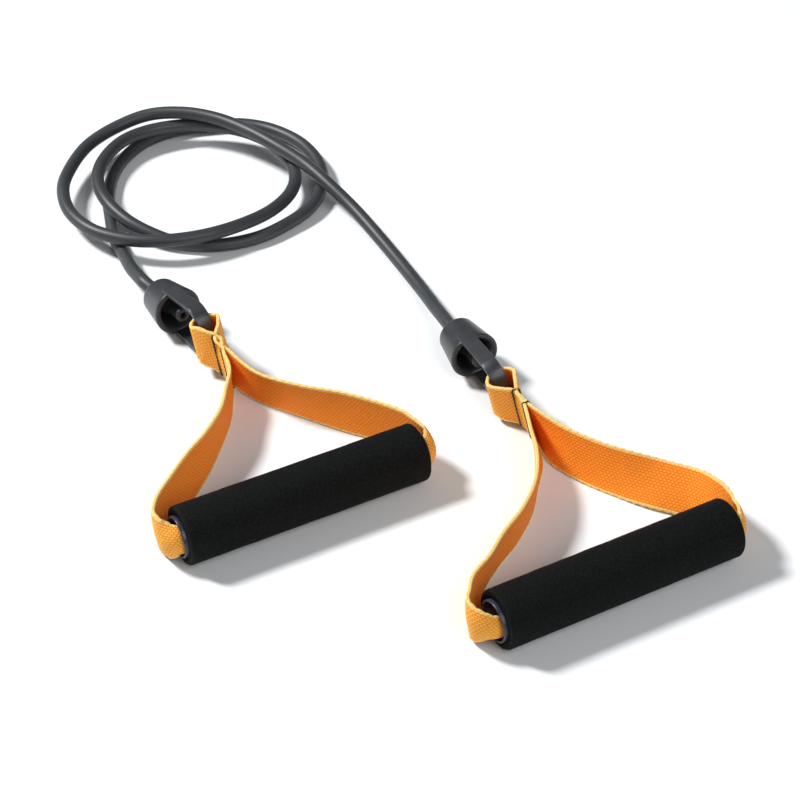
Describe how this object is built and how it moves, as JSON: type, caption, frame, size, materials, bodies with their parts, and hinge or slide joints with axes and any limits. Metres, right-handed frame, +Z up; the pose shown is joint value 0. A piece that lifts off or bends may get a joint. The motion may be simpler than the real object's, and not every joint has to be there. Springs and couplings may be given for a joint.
{
  "type": "resistance band",
  "caption": "Rubber tube in a loose coil, joined at each end by a moulded connector with a bail to a sewn webbing strap that carries a foam hand grip.",
  "frame": {"origin": "middle of the object's footprint on the floor, measured without the tube and its plugs", "axes": "+Z up from the floor the band lies on; +X to the right and +Y away, as someone facing the two grips sees it"},
  "size_m": [0.3621, 0.4469, 0.0347],
  "materials": {
    "tube_rubber": "smooth matt rubber with a soft sheen",
    "plug_plastic": "plain moulded",
    "connector_plastic": "satin moulded",
    "webbing": "woven nylon webbing with a ribbed face",
    "thread": "twisted sewing thread",
    "core_plastic": "smooth extruded tube",
    "foam": "fine closed-cell foam, matt"
  },
  "bodies": {
    "band": {"tube": "tube_rubber", "plug_left": "plug_plastic", "plug_right": "plug_plastic"},
    "connector_left": {"connector_left": "connector_plastic"},
    "strap_left": {"strap_left": "webbing", "stitch_front_left": "thread", "stitch_rear_left": "thread"},
    "grip_left": {"core_left": "core_plastic", "foam_left": "foam"},
    "connector_right": {"connector_right": "connector_plastic"},
    "strap_right": {"strap_right": "webbing", "stitch_front_right": "thread", "stitch_rear_right": "thread"},
    "grip_right": {"core_right": "core_plastic", "foam_right": "foam"}
  },
  "joints": [
    {"name": "swivel_left", "type": "hinge", "parent": "band", "child": "connector_left", "pos_m": [-0.14405, 0.13029, 0.0116], "axis": [0.5241, -0.8387, 0.1478], "range_deg": [-90, 90]},
    {"name": "swing_left", "type": "hinge", "parent": "connector_left", "child": "strap_left", "pos_m": [-0.11418, 0.08248, 0.02003], "axis": [-0.1665, 0.0693, 0.9836], "range_deg": [-50, 20]},
    {"name": "spin_left", "type": "hinge", "parent": "strap_left", "child": "grip_left", "pos_m": [-0.06223, -0.03449, 0.0151], "axis": [0.878, 0.4787, 0], "continuous": true},
    {"name": "swivel_right", "type": "hinge", "parent": "band", "child": "connector_right", "pos_m": [0.01529, 0.09313, 0.0148], "axis": [0.4224, -0.9058, 0.0349], "range_deg": [-90, 90]},
    {"name": "swing_right", "type": "hinge", "parent": "connector_right", "child": "strap_right", "pos_m": [0.03936, 0.0415, 0.01679], "axis": [-0.2941, -0.1005, 0.9505], "range_deg": [-25, 45]},
    {"name": "spin_right", "type": "hinge", "parent": "strap_right", "child": "grip_right", "pos_m": [0.08708, -0.09079, 0.0151], "axis": [0.8721, 0.4894, 0], "continuous": true}
  ]
}
